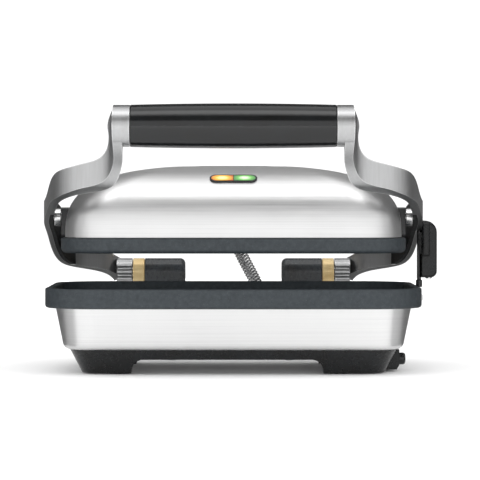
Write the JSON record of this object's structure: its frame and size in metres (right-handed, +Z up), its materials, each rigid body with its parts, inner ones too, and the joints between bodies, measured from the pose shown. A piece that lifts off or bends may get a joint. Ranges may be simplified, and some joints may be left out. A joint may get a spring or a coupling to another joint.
{
  "type": "panini press",
  "caption": "Hinged contact grill: flat lower plate on a footed base, ribbed upper plate under a domed hood, carried by swooping side arms with a bar grip.",
  "frame": {"origin": "on the surface it stands on, under the middle of the lower plate", "axes": "+Z up, +X to the user's right, +Y to the back, away from the grip"},
  "size_m": [0.3658, 0.3208, 0.2418],
  "materials": {
    "cast_plate": "non-stick coated casting",
    "steel_skin": "brushed",
    "arm_metal": "satin",
    "bright_metal": "bright",
    "bronze": "polished",
    "black_moulding": "matt",
    "gloss_black": "gloss",
    "rubber": "matt",
    "amber_lens": "clear",
    "green_lens": "clear",
    "ceramic": "glazed",
    "lamp_glass": "clear"
  },
  "bodies": {
    "base": {"base_shell": "steel_skin", "bottom_cover": "black_moulding", "rubber_feet": "rubber", "bottom_cover_screws": "bright_metal", "lower_plate": "cast_plate", "lower_heating_element": "steel_skin", "lower_heat_shield": "arm_metal", "lower_thermostat": "ceramic", "thermal_fuse": "bright_metal", "terminal_block": "ceramic", "cord_gland": "black_moulding", "lower_conduit_gland": "black_moulding", "hinge_bracket_left": "black_moulding", "hinge_bracket_right": "black_moulding", "height_rest_tab": "bright_metal", "latch_housing": "black_moulding", "conduit": "steel_skin"},
    "hinge": {"hinge_pin_left": "bright_metal", "hinge_pin_right": "bright_metal", "hinge_bush_left": "bronze", "hinge_bush_right": "bronze"},
    "arms": {"left_arm": "arm_metal", "right_arm": "arm_metal", "left_arm_liner": "black_moulding", "right_arm_liner": "black_moulding", "grip_sleeve": "gloss_black", "grip_rod": "bright_metal", "grip_screws": "bright_metal", "pivot_pin_left": "bright_metal", "pivot_pin_right": "bright_metal"},
    "upper_unit": {"upper_plate": "cast_plate", "top_cover": "steel_skin", "light_bezel": "gloss_black", "power_light_lens": "amber_lens", "ready_light_lens": "green_lens", "indicator_lamps": "lamp_glass", "hood_screws": "bright_metal", "upper_heating_element": "steel_skin", "upper_heat_shield": "arm_metal", "upper_thermostat": "ceramic", "upper_conduit_gland": "black_moulding", "pivot_block_left": "black_moulding", "pivot_block_right": "black_moulding"},
    "height_control": {"height_stem": "gloss_black", "height_paddle": "black_moulding", "paddle_screw": "bright_metal"},
    "latch_button": {"storage_latch_button": "gloss_black"}
  },
  "joints": [
    {"name": "height_setting", "type": "hinge", "parent": "base", "child": "hinge", "pos_m": [0, 0.142, 0.086], "axis": [-1, 0, 0], "range_deg": [-16.4, 2], "deforming": ["conduit"]},
    {"name": "lid_lift", "type": "hinge", "parent": "hinge", "child": "arms", "pos_m": [0, 0.142, 0.086], "axis": [-1, 0, 0], "range_deg": [0, 95], "deforming": ["conduit"]},
    {"name": "plate_level", "type": "hinge", "parent": "arms", "child": "upper_unit", "pos_m": [0, 0.0102, 0.1405], "axis": [-1, 0, 0], "range_deg": [-2, 16.4], "deforming": ["conduit"]},
    {"name": "height_slide", "type": "slide", "parent": "arms", "child": "height_control", "axis": [0, 0, 1], "range_m": [-0.0045, 0.0345]},
    {"name": "storage_latch", "type": "slide", "parent": "base", "child": "latch_button", "axis": [0, 1, 0], "range_m": [-0.006, 0.006]}
  ],
  "couplings": [
    {"joint": "height_setting", "follows": "plate_level", "ratio": -1},
    {"joint": "height_slide", "follows": "plate_level", "m_per_rad": 0.1136}
  ]
}
